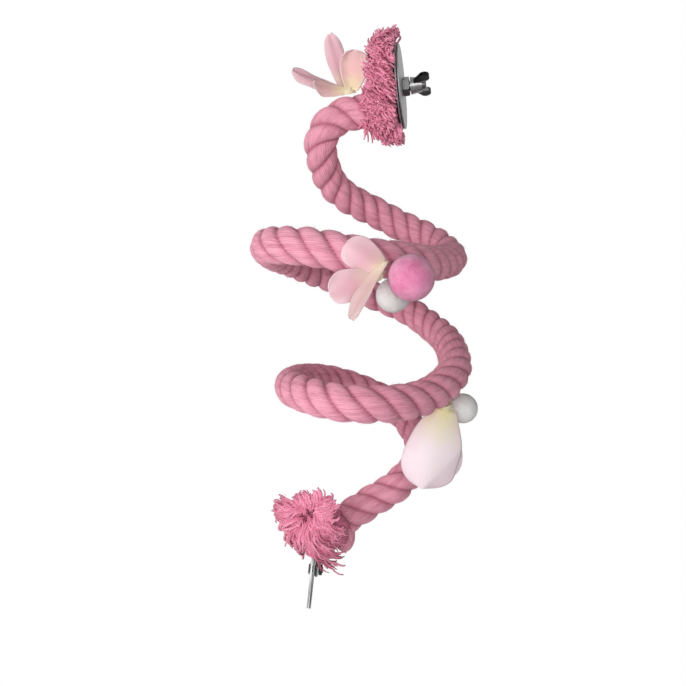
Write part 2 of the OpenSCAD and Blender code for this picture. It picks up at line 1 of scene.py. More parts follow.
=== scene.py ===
import bpy
import numpy as np
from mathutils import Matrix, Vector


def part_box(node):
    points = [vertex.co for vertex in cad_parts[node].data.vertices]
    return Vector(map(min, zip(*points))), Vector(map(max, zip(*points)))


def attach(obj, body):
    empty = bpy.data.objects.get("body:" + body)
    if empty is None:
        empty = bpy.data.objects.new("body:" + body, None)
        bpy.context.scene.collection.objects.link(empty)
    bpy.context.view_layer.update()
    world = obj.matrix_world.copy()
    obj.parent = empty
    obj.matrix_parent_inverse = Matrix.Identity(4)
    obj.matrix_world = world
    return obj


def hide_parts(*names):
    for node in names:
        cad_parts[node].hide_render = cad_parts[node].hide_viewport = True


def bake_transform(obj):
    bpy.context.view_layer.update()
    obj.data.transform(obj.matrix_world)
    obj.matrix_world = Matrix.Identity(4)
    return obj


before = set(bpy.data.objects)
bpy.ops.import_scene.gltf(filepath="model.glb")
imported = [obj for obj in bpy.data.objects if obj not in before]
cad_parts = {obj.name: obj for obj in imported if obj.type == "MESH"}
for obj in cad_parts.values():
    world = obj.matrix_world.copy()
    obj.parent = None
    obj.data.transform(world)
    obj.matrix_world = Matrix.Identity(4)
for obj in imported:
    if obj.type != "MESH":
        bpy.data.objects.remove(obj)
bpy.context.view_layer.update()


# The core wire: drawn steel, 2.6 mm thick, in the middle of the whole rope, so that it keeps its spiral.
# Each end comes out of the rope and is bent into an eye round its clamp's bolt.
class Value:
    """A value in a material's node tree: arithmetic on values adds Math nodes to that tree."""

    def __init__(self, tree, socket=None):
        self.tree = tree
        self.socket = socket

    def node(self, kind, settings, sockets, output=0):
        """Adds a node of this kind, sets its fields and its sockets, and gives one of its outputs."""
        made = self.tree.nodes.new(kind)
        for name, setting in settings.items():
            setattr(made, name, setting)
        for name, value in sockets.items():
            if isinstance(value, Value):
                self.tree.links.new(value.socket, made.inputs[name])
            else:
                made.inputs[name].default_value = value
        return Value(self.tree, made.outputs[output])

    def math(self, operation, a, b=0.0):
        return self.node("ShaderNodeMath", {"operation": operation}, {0: a, 1: b})

    def __add__(self, other):
        return self.math("ADD", self, other)

    def __sub__(self, other):
        return self.math("SUBTRACT", self, other)

    def __rsub__(self, other):
        return self.math("SUBTRACT", other, self)

    def __mul__(self, other):
        return self.math("MULTIPLY", self, other)

    def __pow__(self, other):
        return self.math("POWER", self, other)

    __radd__ = __add__

    def kept(self):
        """The value held between 0 and 1."""
        return self.node("ShaderNodeClamp", {}, {0: self})

    def tint(self, low, high):
        """The colour that goes from low at 0 to high at 1; each is a colour or a value."""
        return self.node("ShaderNodeMix", {"data_type": "RGBA"}, {0: self, 6: low, 7: high}, 2)

    def noise(self, scale, detail=3.0, along=None):
        """Noise from 0 to 1, scale cycles a metre, in object space or in a vector that the mesh holds."""
        if along:
            where = self.node("ShaderNodeAttribute", {"attribute_name": along}, {}, 1)
        else:
            where = self.node("ShaderNodeTexCoord", {}, {}, 3)
        return self.node("ShaderNodeTexNoise", {}, {"Vector": where, "Scale": scale, "Detail": detail})

    def point(self, name):
        """A number that the mesh holds at each of its points."""
        return self.node("ShaderNodeAttribute", {"attribute_name": name}, {}, 2)

    def bump(self, strength, distance):
        """A normal from this value as a height."""
        return self.node("ShaderNodeBump", {}, {"Strength": strength, "Distance": distance, "Height": self})

    def into(self, shader, name):
        self.tree.links.new(self.socket, shader.inputs[name])


def finish(name, **fixed):
    """A new material with these fixed inputs: gives the material, a value to build on and its shader."""
    made = bpy.data.materials.new(name)
    made.use_nodes = True
    shader = made.node_tree.nodes["Principled BSDF"]
    for key, value in fixed.items():
        shader.inputs[key.replace("_", " ")].default_value = value
    shader.inputs["Subsurface Radius"].default_value = (1, 1, 1)
    return made, Value(made.node_tree), shader


def coat(node, made):
    """Gives a CAD node this one material."""
    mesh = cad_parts[node].data
    mesh.materials.clear()
    mesh.materials.append(made)


drawn_steel, start, shader = finish("core_wire", Metallic=1.0)
scuff = start.noise(900.0)
scuff.tint((0.30, 0.31, 0.32, 1), (0.42, 0.43, 0.44, 1)).into(shader, "Base Color")
(scuff * 0.2 + 0.25).into(shader, "Roughness")
for k in range(1, 6):
    coat(f"core_wire_{k}", drawn_steel)


# The rope: three puffy strands of pink cotton, laid right-handed to 22 mm and bent round the wire.
# It is one length of about 1 m. Here it is cut into five stiff stretches with four short ones
# between them.
def unit(v):
    return v / np.linalg.norm(v, axis=-1, keepdims=True)


def cubic(p, a, b, q, t):
    """The cubic from P to Q with handles A and B: (1-t)^3 P + 3(1-t)^2 t A + 3(1-t) t^2 B + t^3 Q."""
    return (1 - t) ** 3 * p + 3 * (1 - t) ** 2 * t * a + 3 * (1 - t) * t**2 * b + t**3 * q


def bends(points, t):
    """The smooth line through points, at t from 0 to 1 on each stretch, as an array (stretch, t, 3).

    Each stretch is a cubic. Its handles lie 0.36 of its chord along the headings at its two ends, and a
    heading is the direction from the point before to the point after."""
    bend_reach = 0.36
    ahead = unit(np.vstack([points[1] - points[0], points[2:] - points[:-2], points[-1] - points[-2]]))
    p, q = points[:-1, None], points[1:, None]
    handle = bend_reach * np.linalg.norm(q - p, axis=-1, keepdims=True)
    a, b = p + handle * ahead[:-1, None], q - handle * ahead[1:, None]
    return cubic(p, a, b, q, np.asarray(t)[None, :, None])


def rings_along(points, step):
    """Even rings along the smooth line: their places, headings, two directions across, and length so far.

    The first direction across starts level. The twist that this gives, summed from ring to ring, is turned
    back."""
    fine = 80
    line = np.vstack([bends(points, np.arange(fine) / fine).reshape(-1, 3), points[-1]])
    run = np.r_[0, np.cumsum(np.linalg.norm(np.diff(line, axis=0), axis=1))]
    s = np.linspace(0, run[-1], int(run[-1] / step) + 1)
    place = np.stack([np.interp(s, run, line[:, k]) for k in range(3)], 1)
    along = unit(np.gradient(place, axis=0))
    level = unit(np.cross(along, [0, 0, 1.0]))
    square = np.cross(along, level)
    twist = np.arctan2((level[1:] * square[:-1]).sum(1), (level[1:] * level[:-1]).sum(1))
    twist = np.r_[0, np.cumsum(twist)][:, None]
    across = np.cos(twist) * level - np.sin(twist) * square
    return place, along, across, np.cross(along, across), s


def grid_quads(rows, columns, closed):
    """The quads of a grid of points in row order; a closed grid joins its last column to its first."""
    i, j = np.mgrid[0 : rows - 1, 0 : columns - (0 if closed else 1)]
    k = (j + 1) % columns
    i, n = i * columns, (i + 1) * columns
    return np.stack([i + j, i + k, n + k, n + j], -1).reshape(-1, 4)


def mesh_piece(name, points, faces, made, held=None, normals=None):
    """A smooth mesh object from points, a list of face arrays, and what its points hold by name."""
    faces = [np.asarray(f).reshape(-1, np.shape(f)[-1]) for f in faces]
    points = np.asarray(points).reshape(-1, 3)
    mesh = bpy.data.meshes.new(name)
    mesh.vertices.add(len(points))
    mesh.vertices.foreach_set("co", np.ascontiguousarray(points, np.float32).ravel())
    corners = np.concatenate([f.ravel() for f in faces]).astype(np.int32)
    sides = np.concatenate([np.full(len(f), f.shape[1]) for f in faces])
    mesh.loops.add(len(corners))
    mesh.loops.foreach_set("vertex_index", corners)
    mesh.polygons.add(len(sides))
    mesh.polygons.foreach_set("loop_start", (np.cumsum(sides) - sides).astype(np.int32))
    mesh.update(calc_edges=True)
    mesh.polygons.foreach_set("use_smooth", np.ones(len(sides), bool))
    for key, values in (held or {}).items():
        values = np.ascontiguousarray(values, np.float32)
        vector = values.size == 3 * len(points)
        layer = mesh.attributes.new(key, "FLOAT_VECTOR" if vector else "FLOAT", "POINT")
        layer.data.foreach_set("vector" if vector else "value", values.ravel())
    if normals is not None:
        mesh.normals_split_custom_set_from_vertices(np.asarray(normals).reshape(-1, 3))
    mesh.materials.append(made)
    piece = bpy.data.objects.new(name, mesh)
    bpy.context.scene.collection.objects.link(piece)
    return piece


route = 0.001 * np.array([
    [-14, 2, -14], [-34, 7, -15], [-47, 11, -24], [-50, 19, -38], [-39, 39, -59], [-6, 51, -77],
    [28, 37, -95], [32, -2, -107], [-13, -63, -105], [-59, -63, -98], [-80, -32, -99], [-65, 33, -111],
    [-21, 65, -130], [24, 59, -152], [37, -5, -172], [13, -49, -185], [-29, -69, -185], [-66, -33, -184],
    [-53, 28, -190], [-14, 49, -205], [11, 43, -223], [19, 25, -242], [3, 5, -258], [-16, -1, -268],
    [-34, -5, -279],
])
ring_step = 0.00125
place, along, across, square, s = rings_along(route, ring_step)
rope_r, lay_length, columns = 0.011, 0.040, 240
fibre_stretch = 0.12


def rope_skin():
    """The rope's skin as a grid (ring, angle): points, groove depth, yarn height and fibre place.

    Depth and height go from 0 to 1. At angle a and length s the radius is
    R - 2.7 mm g - 0.35 mm (1 - y) (1 - g) - 0.35 mm w. With x from -1 to 1 across one of three strands, at
    angle a - 2 pi s / lay, the groove g is (1 - sqrt(1 - (0.985 x)^2)) over its value at x = 1. The yarns y
    are |sin| of 26 a + 150 s with a slow wander, and w is the slack of one strand against the next."""
    strands, shoulder = 3, 0.985
    yarns_round, yarn_slant, fibre_slant = 26, 150, 5.8
    groove_deep, yarn_deep, slack_deep = 0.0027, 0.00035, 0.00035
    a = np.linspace(0, 2 * np.pi, columns, endpoint=False)[None]
    length = s[:, None]
    lay = (a - 2 * np.pi * length / lay_length) * strands / (2 * np.pi)
    x = shoulder * (2 * (lay % 1) - 1)
    groove = (1 - np.sqrt(1 - x * x)) / (1 - np.sqrt(1 - shoulder**2))
    wander = 0.7 * np.sin(31 * length + 2 * a) + 0.5 * np.sin(77 * length - 3 * a + 1)
    yarn = np.abs(np.sin(yarns_round * a + yarn_slant * length + wander))
    slack = 0.5 + 0.5 * np.sin(37 * length + 2.1 * (np.floor(lay) % strands))
    radius = rope_r - groove_deep * groove - yarn_deep * (1 - yarn) * (1 - groove) - slack_deep * slack
    out = np.cos(a)[..., None] * across[:, None] + np.sin(a)[..., None] * square[:, None]
    lean = a + fibre_slant * length
    fibre = np.stack([rope_r * np.cos(lean), rope_r * np.sin(lean), fibre_stretch * length + 0 * a], -1)
    return place[:, None] + radius[..., None] * out, groove, yarn, fibre


skin, groove, yarn, fibre = rope_skin()
wrapped = np.concatenate([skin[:, -1:], skin, skin[:, :1]], 1)
skin_out = unit(np.cross(np.gradient(wrapped, axis=1)[:, 1:-1], np.gradient(skin, axis=0)))

# The cotton darkens to deep crimson in the grooves between strands and a little in the dips between yarns:
# painted shade. Its streaks, locks and blotches are random tone.
cotton, start, shader = finish("cotton_rope", Roughness=0.95, Sheen_Weight=0.12, Sheen_Roughness=0.5)
groove_painted_shade, cotton_pink = (0.32, 0.03, 0.08, 1), (0.91, 0.395, 0.515, 1)
streak = start.noise(1500.0, 4.0, "fibre")
blotch = start.noise(150.0, 2.0)
lock = start.noise(420.0, 3.0, "fibre")
yarn_shade_and_tone = start.point("yarn") * 0.18 + (streak - 0.5) * 0.8 + (lock - 0.5) * 0.9 + (blotch - 0.5) * 0.3
light = (1 - start.point("groove") ** 1.5 * 0.85) * (yarn_shade_and_tone + 0.76)
light.kept().tint(groove_painted_shade, cotton_pink).into(shader, "Base Color")
(streak + start.noise(2800.0) * 0.6).bump(0.65, 0.0007).into(shader, "Normal")
fuzz, start, shader = finish("cotton_fuzz", Roughness=0.95)
start.noise(400.0).tint((0.80, 0.36, 0.48, 1), (0.95, 0.52, 0.62, 1)).into(shader, "Base Color")


def rope_stretch(name, first, last):
    """The rope's skin from one ring to another; the rope's own two ends are closed by a fan."""
    rows = slice(first, last + 1)
    count = last + 1 - first
    points, normals = skin[rows].reshape(-1, 3), skin_out[rows].reshape(-1, 3)
    held = {
        "groove": groove[rows].ravel(),
        "yarn": yarn[rows].ravel(),
        "fibre": fibre[rows].reshape(-1, 3),
    }
    faces = [grid_quads(count, columns, True)]
    for ends, row, k in ((first == 0, 0, 0), (last == len(s) - 1, count - 1, -1)):
        if ends:
            rim = row * columns + np.arange(columns)
            fan = np.stack([np.full(columns, len(points)), rim, np.roll(rim, -1)], -1)
            faces.append(fan[:, ::-1] if k == 0 else fan)
            points = np.vstack([points, place[k]])
            normals = np.vstack([normals, along[k] * (1 if k else -1)])
            held = {key: np.concatenate([v, v[:1]]) for key, v in held.items()}
    return mesh_piece(name, points, faces, cotton, held, normals)


def hairs(name, root, out, length, thickness, made, seed, curl, normals=None):
    """Fine fibres as three-sided spikes. At t along it, one is at root + length (t out + curl t^2 side).

    Its thickness falls to 0.7 half way along and to nothing at its tip."""
    count = len(root)
    side = unit(np.cross(out, unit(seed.normal(size=(count, 3)))))
    third = np.cross(out, side)
    t, wide = np.repeat([0.0, 0.55], 3)[:, None], np.repeat([1.0, 0.7], 3)[:, None]
    a = np.tile(np.arange(3) * 2 * np.pi / 3, 2)[:, None]
    reach = length[:, None, None]
    body = root[:, None] + reach * (t * out[:, None] + curl * t * t * side[:, None])
    body = body + thickness * wide * (np.cos(a) * side[:, None] + np.sin(a) * third[:, None])
    tip = root + length[:, None] * (out + curl * side)
    points = np.concatenate([body, tip[:, None]], 1)
    spike = points.shape[1]
    first = np.arange(count)[:, None, None] * spike
    quads = first + np.array([[0, 1, 4, 3], [1, 2, 5, 4], [2, 0, 3, 5]])
    tips = first + np.array([[3, 4, 6], [4, 5, 6], [5, 3, 6]])
    if normals is not None:
        normals = np.repeat(normals, spike, axis=0)
    return mesh_piece(name, points, [quads, tips], made, None, normals)


def rope_fuzz(name, first, last, seed):
    """Loose fibres that stand about 1 mm off the cotton between two rings."""
    fibres_a_ring, fibre_thick, fibre_curl = 11, 0.00006, 0.6
    count = (last - first) * fibres_a_ring
    i, j = seed.integers(first, last, count), seed.integers(0, columns, count)
    out = unit(1.5 * skin_out[i, j] + unit(seed.normal(size=(count, 3))))
    length = seed.uniform(0.0006, 0.0019, count)
    return hairs(name, skin[i, j], out, length, fibre_thick, fuzz, seed, fibre_curl, skin_out[i, j])


turns = ["upper_end", "first_turn", "back_turn", "second_turn", "lower_end"]
flex_points = (7, 10, 14, 17)
flex = [int(np.argmin(np.linalg.norm(place - route[k], axis=1))) for k in flex_points]
flex_half = 14
edges = [0] + [ring + d for ring in flex for d in (-flex_half, flex_half)] + [len(s) - 1]
seed = np.random.default_rng(7)
for k, body in enumerate(turns):
    first, last = edges[2 * k], edges[2 * k + 1]
    stretch = rope_stretch(f"rope_{body}", first, last)
    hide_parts(f"rope_turn_{k + 1}")
    for piece in (stretch, rope_fuzz(f"fuzz_{body}", first, last, seed)):
        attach(piece, body)
for k, ring in enumerate(flex):
    first, last = ring - flex_half, ring + flex_half
    stretch = rope_stretch(f"rope_flex_{k + 1}", first, last)
    for piece in (stretch, rope_fuzz(f"fuzz_flex_{k + 1}", first, last, seed)):
        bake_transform(piece)


# The upper frayed end: the rope's last yarns, unlaid, teased out and pressed flat behind the upper washers.
# Curly tufts stand out all round the bolt over a dense mat, and more flare straight out of the rope's skin.
def clamp_axes(lift, turn):
    """A clamp's own directions in columns, down and back across it and out of it; angles are in degrees."""
    a, b = np.radians(lift), np.radians(turn)
    return np.array([
        [np.sin(a) * np.cos(b), -np.sin(b), np.cos(a) * np.cos(b)],
        [np.sin(a) * np.sin(b), np.cos(b), np.cos(a) * np.sin(b)],
        [-np.cos(a), 0, np.sin(a)],
    ])


def yarns(name, paths, thickness, made, shade):
    """Yarns as four-sided tubes along paths (yarn, point, 3), closed at both ends.

    At t along it a yarn is (0.75 + 0.25 sin(pi t)) (1 - 0.3 t^6) of its thickness, and its points hold a lift
    of 0.38 + 0.62 t^0.7 of its shade: painted shade, darkest at the root."""
    count, steps = paths.shape[:2]
    sides = 4
    ahead = unit(np.gradient(paths, axis=1))
    first = unit(np.cross(ahead, np.roll(ahead[:, :1], 1, axis=2) + 0.013))
    second = np.cross(ahead, first)
    t = np.linspace(0, 1, steps)
    wide = thickness[:, None] * (0.75 + 0.25 * np.sin(np.pi * t)) * (1 - 0.3 * t**6)
    a = np.linspace(0, 2 * np.pi, sides, endpoint=False)[:, None]
    out = np.cos(a) * first[:, :, None] + np.sin(a) * second[:, :, None]
    points = paths[:, :, None] + wide[..., None, None] * out
    base = np.arange(count)[:, None, None] * steps * sides
    caps = base + np.array([np.arange(sides)[::-1], sides * (steps - 1) + np.arange(sides)])
    lift = np.broadcast_to((shade[:, None] * (0.38 + 0.62 * t**0.7))[..., None], points.shape[:3])
    faces = [base + grid_quads(steps, sides, True), caps]
    return mesh_piece(name, points, faces, made, {"lift": lift.ravel()})


def blown(size, low, high):
    """Random numbers from low to high, in a column."""
    return loose.uniform(low, high, size)[:, None]


def drawn_by_tuft(tufts, each):
    """A function that draws one number from low to high for each tuft and repeats it for the tuft's yarns."""
    return lambda low, high: np.repeat(blown(tufts, low, high), each, axis=0)


def tuft_turns(tufts, each, spread):
    """The turn of each yarn: tufts follow each other by the golden angle, and their yarns spread a little."""
    golden_angle = 2.399963
    turn = np.repeat((np.arange(tufts) * golden_angle)[:, None], each, axis=0)
    return turn + loose.normal(0, spread, (tufts * each, 1))


def tuft_shades(count, palest):
    """Shades of yarns in tufts of five: 0.55 to the palest for a tuft, give or take a tenth for a yarn."""
    return np.repeat(loose.uniform(0.55, palest, count), 5)[:count] * loose.uniform(0.9, 1.1, count)


# The frayed yarn darkens to deep crimson as its lift falls: painted shade at each yarn's root, and in darker
# tufts.
frayed, start, shader = finish("frayed_yarn", Roughness=0.92, Sheen_Weight=0.1, Sheen_Roughness=0.5)
light = start.point("lift") * (0.78 + start.noise(900.0) * 0.5)
light.kept().tint((0.50, 0.05, 0.14, 1), (0.96, 0.36, 0.52, 1)).into(shader, "Base Color")
start.noise(3000.0).bump(0.5, 0.0005).into(shader, "Normal")
# The mat is the yarn's pink a little darker: painted shade in the depths between the tufts.
mat, start, shader = finish("yarn_mat_painted_shade", Roughness=0.95)
start.noise(1200.0).tint((0.46, 0.07, 0.16, 1), (0.88, 0.30, 0.45, 1)).into(shader, "Base Color")
start.noise(1600.0).bump(0.8, 0.002).into(shader, "Normal")

loose = np.random.default_rng(11)
t = np.linspace(0, 1, 10)[None]
washer_r, rosette_front, stray_thick = 0.025, 0.0026, 0.00016


def upper_tufts(tufts, each, long, wave, first=0.0, last=1.0):
    """Tufts that stand on the rosette's rim and back, in the clamp's own directions: paths (yarn, point, 3).

    With u from 0 behind the washers to 1 at the back, or more, a tuft's root lies at radius
    25 + 3 sin(pi u) - 7 u^2 mm and depth 2.6 + 11 u mm, at most 14.4 mm. It leaves 90 u - 8 degrees behind
    the washers' plane. At the top it leans forwards, and at the bottom and on the far side it leans back.
    Each yarn waves, more at its tip, and keeps out of the washers, whose rim it may pass."""
    n = tufts * each
    past_rim, top_front, rim_front, back_front = 0.0266, 0.0022, -0.0002, -0.0024
    own = drawn_by_tuft(tufts, each)
    turn = tuft_turns(tufts, each, 0.04)
    low, far = np.cos(turn).clip(0), np.sin(turn).clip(0)
    top = (np.cos(turn) < -0.75) & (far < 0.1)
    u = first + (last - first) * own(0, 1) ** 1.25
    lean = 90 * u - 8 - 22 * top * (1 - u) + 20 * low * u**0.5 + 34 * far * (1 - u)
    lean = np.radians(lean + own(-26, 26) + loose.normal(0, 8, (n, 1)))
    reach = own(0.65, 1.0) * blown(n, 0.75, 1.1) * long * (1 - 0.42 * u)
    sway = wave * (0.35 + own(0, 1) ** 2) * t**0.6
    phase = own(0, 6.28) + loose.normal(0, 0.8, (n, 1)) + own(4.5, 10.0) * t
    root_r = washer_r + 0.003 * np.sin(np.pi * u) - 0.007 * u * u
    r = root_r + reach * t * np.cos(lean) + 0.6 * sway * np.cos(phase)
    depth = rosette_front + np.minimum(0.011 * u, 0.0118) + 0.002 * low * u + reach * t * np.sin(lean)
    z = sway * np.sin(phase) - depth + loose.normal(0, 0.0006, (n, 1))
    a = turn + (sway * np.sin(0.9 * phase + 1) + loose.normal(0, 0.0012, (n, 1)) * t) / r
    front = np.where(r > past_rim, np.where(top, top_front, rim_front), back_front)
    return np.stack([r * np.cos(a), r * np.sin(a), np.minimum(z, front)], -1)


def flared(count):
    """Yarns that leave the rope's skin near its end, run on to the clamp and flare outwards, in part space.

    Each is a cubic from a point of the skin, with handles first along the rope and then away from it."""
    i, j = loose.integers(1, 9, count), loose.integers(0, columns, count)
    p, away = skin[i, j], unit(skin[i, j] - place[i])
    on = -along[i]
    side = unit(loose.normal(size=(count, 3)))
    reach, wide = blown(count, 0.003, 0.006), blown(count, 0.003, 0.007)
    a = p + 0.4 * reach * on
    b = p + reach * on + 0.45 * wide * away + 0.002 * side
    q = p + 0.9 * reach * on + wide * away + 0.0035 * side
    p, a, b, q = (v[:, None] for v in (p, a, b, q))
    return cubic(p, a, b, q, t[..., None])


upper_axes = clamp_axes(5, -10)
flare = flared(150) @ upper_axes
flare[..., 2] = np.minimum(flare[..., 2], -rosette_front)
rim = upper_tufts(330, 5, 0.0106, 0.0025)
strays = upper_tufts(50, 1, 0.0140, 0.0028)
back = upper_tufts(70, 4, 0.0104, 0.0020, 1.0, 1.32)
paths = np.concatenate([rim, strays, flare, back]) @ upper_axes.T
count = len(paths)
thick = loose.uniform(0.00055, 0.00095, count)
thick[len(rim) : len(rim) + len(strays)] = stray_thick
upper_fray = yarns("upper_fray", paths, thick, frayed, tuft_shades(count, 1.3))

profile = 0.001 * np.array([
    [9.4, -2.2], [24, -2.0], [27.5, -3.4], [29, -8], [26.5, -13], [20, -14.6], [9.4, -14.6],
])
spokes, corners = 120, len(profile)
turn = np.linspace(0, 2 * np.pi, spokes, endpoint=False)
a, k = np.meshgrid(turn, np.arange(corners), indexing="ij")
r = profile[k, 0] + 0.0012 * np.sin(9 * a + k) * (profile[k, 0] > 0.01)
ring = np.stack([r * np.cos(a), r * np.sin(a), profile[k, 1]], -1) @ upper_axes.T
i, j = np.mgrid[0:spokes, 0:corners]
here, beyond, after = i * corners, (i + 1) % spokes * corners, (j + 1) % corners
mat_quads = np.stack([here + j, here + after, beyond + after, beyond + j], -1)
upper_mat = mesh_piece("upper_mat", ring, [mat_quads.reshape(-1, 4)[:, ::-1]], mat)
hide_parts("upper_frayed_end")
for piece in (upper_fray, upper_mat):
    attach(piece, "upper_end")


# The lower frayed end: the rope's other end, unlaid into a mop that parts at its crown and falls round the
# washers. One strand is left whole: it turns back beside the mop, and its cut end is rounded.
lower_clamp = np.array([-0.056, -0.007, -0.314])
lower_axes = clamp_axes(6, 180)
mop_middle = np.array([-0.051, -0.020, -0.279])
mop_out = unit(np.array([-0.362, -0.896, -0.259]))
mop_side = unit(np.cross(mop_out, [0, 0, 1.0]))
mop_up = np.cross(mop_side, mop_out)


def clear_of_washers(points):
    """Points inside the lower washers' room, 27.2 mm round their axis, moved straight out of it."""
    room_r, room_back, room_front = 0.0272, -0.0026, 0.0072
    local = (points - lower_clamp) @ lower_axes
    r = np.hypot(local[..., 0], local[..., 1])
    inside = (local[..., 2] > room_back) & (local[..., 2] < room_front) & (r < room_r)
    local[..., :2] *= np.where(inside, room_r / np.maximum(r, 1e-6), 1.0)[..., None]
    return local @ lower_axes.T + lower_clamp


def mop_lock(root, tip, broad, tufts, each):
    """A lock of tufts in part space. Root, tip and half width are in mm, left and up in the mop's plane.

    A tuft starts up to 0.65 of the way along the lock, and its yarns run on along it, fan out and wave. They
    lie on a dome 9.5 (1 - (q / 27 mm)^2) mm high, at least -6 mm, with q from the crown, 2 mm left and 6 mm
    up, and lift off it towards their tips."""
    n = tufts * each
    dome_high, dome_r, dome_least, crown_left, crown_up = 0.0095, 0.027, -0.006, 0.002, 0.006
    own = drawn_by_tuft(tufts, each)
    root, way = 0.001 * np.array(root), 0.001 * (np.array(tip, float) - root)
    long = np.linalg.norm(way)
    ahead = way / long
    beside = np.array([-ahead[1], ahead[0]])
    at, off = own(0, 0.65), own(-1, 1) * 0.001 * broad
    reach = np.minimum(own(0.36, 0.56), 1.04 - at) * long * blown(n, 0.80, 1.10)
    sway = 0.0021 * (0.3 + own(0, 1) ** 2) * t**0.8
    phase = own(0, 6.28) + loose.normal(0, 0.5, (n, 1)) + own(3.5, 8.0) * t
    on = at * long + loose.normal(0, 0.0009, (n, 1)) + reach * t + sway * np.sin(phase)
    across = off + loose.normal(0, 0.0009, (n, 1))
    fan = 0.35 * off / long + own(-0.35, 0.35) + loose.normal(0, 0.16, (n, 1))
    across = across + fan * reach * t + sway * np.cos(phase)
    left, up = (root[k] + on * ahead[k] + across * beside[k] for k in (0, 1))
    from_crown = (left - crown_left) ** 2 + (up - crown_up) ** 2
    dome = np.maximum(dome_high * (1 - from_crown / dome_r**2), dome_least)
    rise = own(0.15, 0.75) + loose.normal(0, 0.12, (n, 1))
    height = dome + rise * reach * t * (1.3 - t) + 0.6 * sway * np.sin(0.8 * phase + 2)
    paths = left[..., None] * mop_side + up[..., None] * mop_up + height[..., None] * mop_out
    return clear_of_washers(mop_middle + paths)


def mop_back(tufts, each):
    """Tufts behind the mop, in part space: a yarn leaves the rope's cut end, runs on and flares to the rim.

    It is a cubic. Its first handle lies 7 mm along the rope, and its second 12 mm behind the mop at 0.55 of
    its reach, which is 16 + 4 cos(turn) mm, more or less, at a turn from the left in the mop's plane."""
    n = tufts * each
    own = drawn_by_tuft(tufts, each)
    turn = tuft_turns(tufts, each, 0.09)
    out = np.cos(turn) * mop_side + np.sin(turn) * mop_up
    reach = 0.001 * (16 + 4 * np.cos(turn)) * own(0.45, 1.05) * blown(n, 0.9, 1.1)
    spread = 0.009 * own(0, 1) ** 0.5
    end = along[-1]
    p = place[-1] - 0.002 * end + spread * unit(out - (out @ end)[:, None] * end)
    q = mop_middle + reach * out - own(0.005, 0.010) * mop_out + loose.normal(0, 0.0012, (n, 3))
    a = p + 0.007 * end
    b = mop_middle + 0.55 * reach * out - 0.012 * mop_out + loose.normal(0, 0.001, (n, 3))
    u = t[..., None]
    p, a, b, q = (v[:, None] for v in (p, a, b, q))
    phase = own(0, 6.28)[..., None] + own(4.0, 9.0)[..., None] * u
    return clear_of_washers(cubic(p, a, b, q, u) + 0.0012 * u * np.sin(phase) * mop_side)


mop_locks = (
    ([5, 18], [30, 9], 5, 36, 5),
    ([9, 12], [27, -2], 6, 40, 5),
    ([11, 9], [16, -22], 5, 40, 5),
    ([5, 8], [5, -33], 5, 64, 5),
    ([1, 12], [-5, -20], 5, 48, 5),
    ([-1, 17], [-13, -1], 6, 44, 5),
    ([-1, 18], [-14, 20], 5, 34, 5),
    ([2, 17], [4, 28], 8, 44, 5),
)
stray_locks = (
    ([4, 16], [24, 18], 5, 14, 1),
    ([-2, 14], [-16, -12], 7, 16, 1),
)
tufted = np.concatenate([mop_back(110, 5)] + [mop_lock(*lock) for lock in mop_locks])
strays = np.concatenate([mop_lock(*lock) for lock in stray_locks])
paths = np.concatenate([tufted, strays])
count = len(paths)
thick = loose.uniform(0.00055, 0.00100, count)
thick[len(tufted) :] = stray_thick
lower_fray = yarns("lower_fray", paths, thick, frayed, tuft_shades(count, 1.35))

ball_rings, ball_columns = 48, 90
rings = np.linspace(0, np.pi, ball_rings + 2)[1:-1]
lat, lon = np.meshgrid(rings, np.linspace(0, 2 * np.pi, ball_columns, endpoint=False), indexing="ij")
ball_points = np.stack([np.sin(lat) * np.cos(lon), np.sin(lat) * np.sin(lon), np.cos(lat)], -1)
ball_points = np.vstack([ball_points.reshape(-1, 3), [0, 0, 1], [0, 0, -1]])
pole = ball_rings * ball_columns
first_ring, last_ring = np.arange(ball_columns), pole - ball_columns + np.arange(ball_columns)
ball_faces = [
    grid_quads(ball_rings, ball_columns, True)[:, ::-1],
    np.stack([np.full(ball_columns, pole), first_ring, np.roll(first_ring, -1)], -1),
    np.stack([np.full(ball_columns, pole + 1), np.roll(last_ring, -1), last_ring], -1),
]
# The lump takes the mat's darker pink: painted shade inside the mop.
mat_radii = 0.001 * np.array([20, 18.5, 9.5])
lobes = 1 + 0.05 * np.sin(9 * np.arctan2(ball_points[:, 1:2], ball_points[:, :1]))
lump = ball_points * mat_radii * lobes + 0.001 * np.array([0, 1, -1])
lump = mop_middle + lump @ np.array([mop_side, mop_up, mop_out])
lower_mat = mesh_piece("lower_mat", clear_of_washers(lump), ball_faces, mat)
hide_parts("lower_frayed_end")
for piece in (lower_fray, lower_mat):
    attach(piece, "lower_end")

strand_route = 0.001 * np.array([[-35, -6, -281], [-33, -8, -288], [-34, -9, -294], [-39, -10, -298]])
strand_r, strand_ridge, strand_columns = 0.0055, 0.0004, 96
at, _, one, two, run = rings_along(strand_route, 0.0006)
a = np.linspace(0, 2 * np.pi, strand_columns, endpoint=False)[None]
length = run[:, None]
ridge = np.abs(np.sin(7 * a + 160 * length))
shut = np.sqrt(1 - ((length / run[-1] - 0.7) / 0.3).clip(0, 0.995) ** 2)
wide = (strand_r - strand_ridge * (1 - ridge)) * shut
out = np.cos(a)[..., None] * one[:, None] + np.sin(a)[..., None] * two[:, None]
points = np.vstack([(at[:, None] + wide[..., None] * out).reshape(-1, 3), at[-1]])
level = 0 * ridge
strand_fibre = [0.006 * np.cos(a) + level, 0.006 * np.sin(a) + level, fibre_stretch * length + level]
